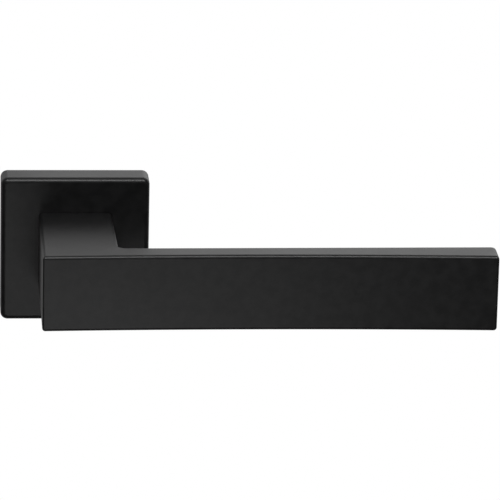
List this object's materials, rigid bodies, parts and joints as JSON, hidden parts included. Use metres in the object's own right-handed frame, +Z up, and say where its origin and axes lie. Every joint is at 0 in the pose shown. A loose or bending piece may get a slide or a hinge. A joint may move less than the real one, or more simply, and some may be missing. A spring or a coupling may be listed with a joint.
{
  "type": "door lever handle",
  "caption": "Matte black flat-bar door lever on a square sprung rose, with square spindle, locating lugs and through screws, for one side of a door.",
  "frame": {"origin": "on the spindle axis, in the plane of the door face that the rose stands on", "axes": "+X towards the lever's tip, +Y into the door along the spindle, +Z up"},
  "size_m": [0.1628, 0.1124, 0.05],
  "materials": {
    "black_coat": "matte",
    "black_steel": "satin",
    "die_cast_zinc": "matte",
    "bright_steel": "satin",
    "plated_steel": "satin",
    "spring_steel": "satin",
    "acetal": "satin"
  },
  "bodies": {
    "rose": {"rose_cover": "black_coat", "sub_rose": "die_cast_zinc", "neck_bush": "acetal", "spring_plate": "plated_steel", "driver_bush": "acetal", "plate_screws": "plated_steel", "lug_left": "bright_steel", "lug_right": "bright_steel", "fixing_screws": "plated_steel", "wood_screws": "plated_steel", "cover_clip_top": "spring_steel", "cover_clip_bottom": "spring_steel", "return_spring": "spring_steel"},
    "lever": {"lever": "black_coat", "grub_screw": "black_steel", "spindle": "bright_steel", "spring_driver": "die_cast_zinc"}
  },
  "joints": [
    {"name": "lever_turn", "type": "hinge", "parent": "rose", "child": "lever", "pos_m": [0, 0, 0], "axis": [0, 1, 0], "range_deg": [0, 45], "stiffness_Nm_per_rad": 0.9, "springref_deg": -34.38, "deforming": ["return_spring"]}
  ]
}
